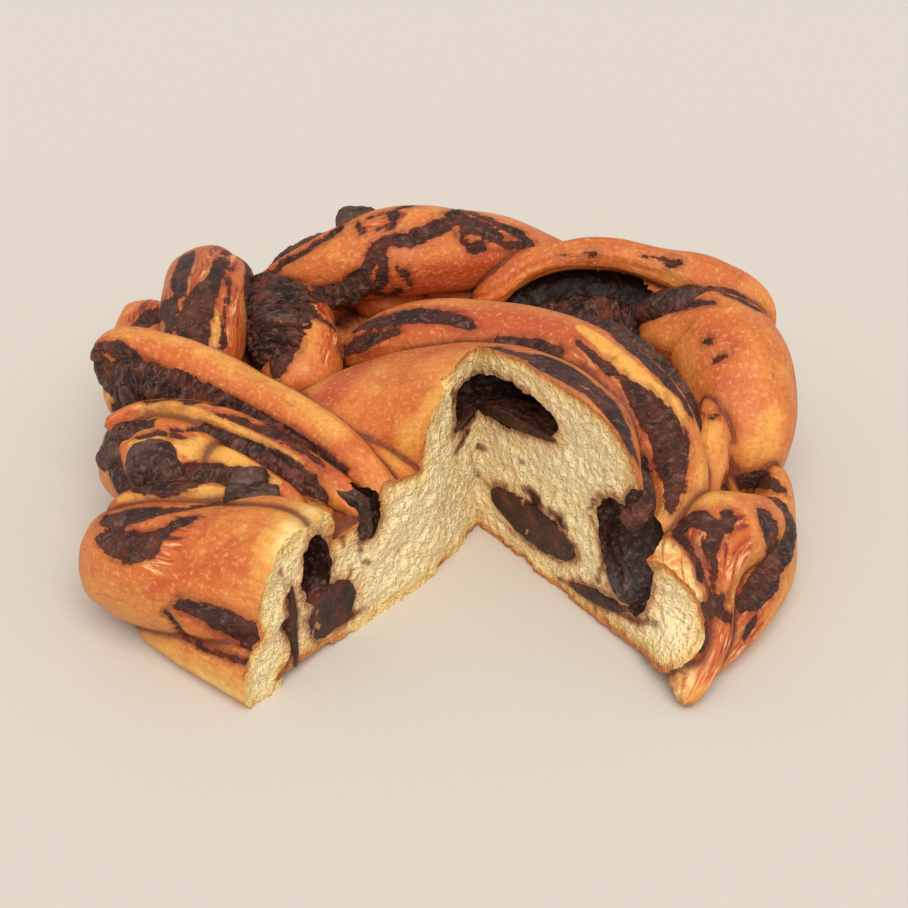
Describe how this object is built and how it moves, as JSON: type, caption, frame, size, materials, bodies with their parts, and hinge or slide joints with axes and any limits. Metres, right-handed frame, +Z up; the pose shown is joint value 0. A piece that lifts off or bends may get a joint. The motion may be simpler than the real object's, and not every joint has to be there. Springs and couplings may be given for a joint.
{
  "type": "chocolate babka loaf",
  "caption": "Round twisted chocolate brioche loaf with a wedge cut out of its front, standing flat on its base, with opened layers, chocolate filling and lumps.",
  "frame": {"origin": "middle of the loaf's outline on the surface that it stands on", "axes": "+Z up, the cut wedge opens towards -Y, +X to the right of the opening"},
  "size_m": [0.225, 0.2033, 0.0757],
  "materials": {
    "crust": "baked golden crust with a thin egg glaze",
    "crumb": "open soft brioche crumb",
    "filling": "baked dark chocolate filling",
    "chunk": "dark chocolate lumps, satin"
  },
  "bodies": {
    "root": {"dough": "crust", "chunk_back": "chunk", "chunk_left_end": "chunk", "chunk_left_hole": "chunk", "chunk_left_far": "chunk", "chunk_left_large": "chunk", "stick_lower": "chunk", "stick_upper": "chunk", "stick_wall": "chunk", "filling_lens": "filling", "filling_crown": "filling", "filling_side": "filling", "filling_low": "filling", "filling_left_wall": "filling", "filling_left_edge": "filling", "filling_left_top": "filling", "filling_left_middle": "filling", "filling_left_low": "filling", "filling_left_back": "filling", "filling_back_left": "filling", "filling_back_low": "filling", "filling_back_hollow": "filling", "filling_inner_arc": "filling", "filling_right_top": "filling", "filling_right_end": "filling", "filling_right_foot": "filling"}
  },
  "joints": []
}
